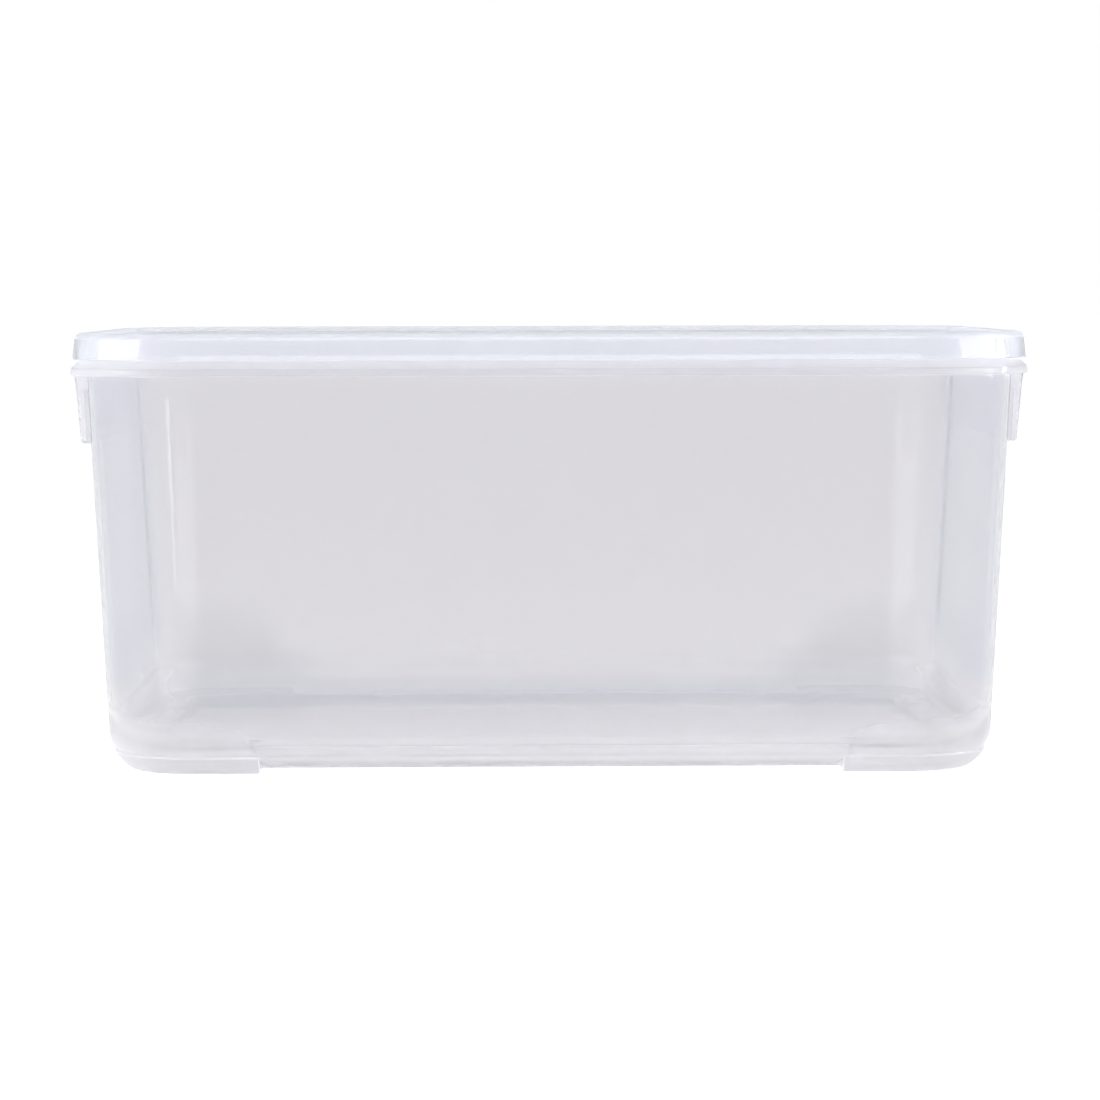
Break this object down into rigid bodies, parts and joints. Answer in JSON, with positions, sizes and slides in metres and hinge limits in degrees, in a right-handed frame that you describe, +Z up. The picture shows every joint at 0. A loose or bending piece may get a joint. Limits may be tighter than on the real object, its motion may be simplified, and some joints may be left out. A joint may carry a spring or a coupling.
{
  "type": "lidded food storage box",
  "caption": "Rectangular clear plastic food storage box with rounded corners, a press-on lid, a flanged rim, short grips at the ends and low corner feet.",
  "frame": {"origin": "middle of the footprint, on the surface that the four feet stand on", "axes": "+X along the long sides, +Y across, +Z up; either long side may face the viewer"},
  "size_m": [0.346, 0.235, 0.1577],
  "materials": {
    "tub_plastic": "clear moulded polypropylene, slightly milky and glossy",
    "lid_plastic": "clear moulded polypropylene, a little milkier than the tub, glossy"
  },
  "bodies": {
    "root": {"tub": "tub_plastic", "lid": "lid_plastic"}
  },
  "joints": []
}
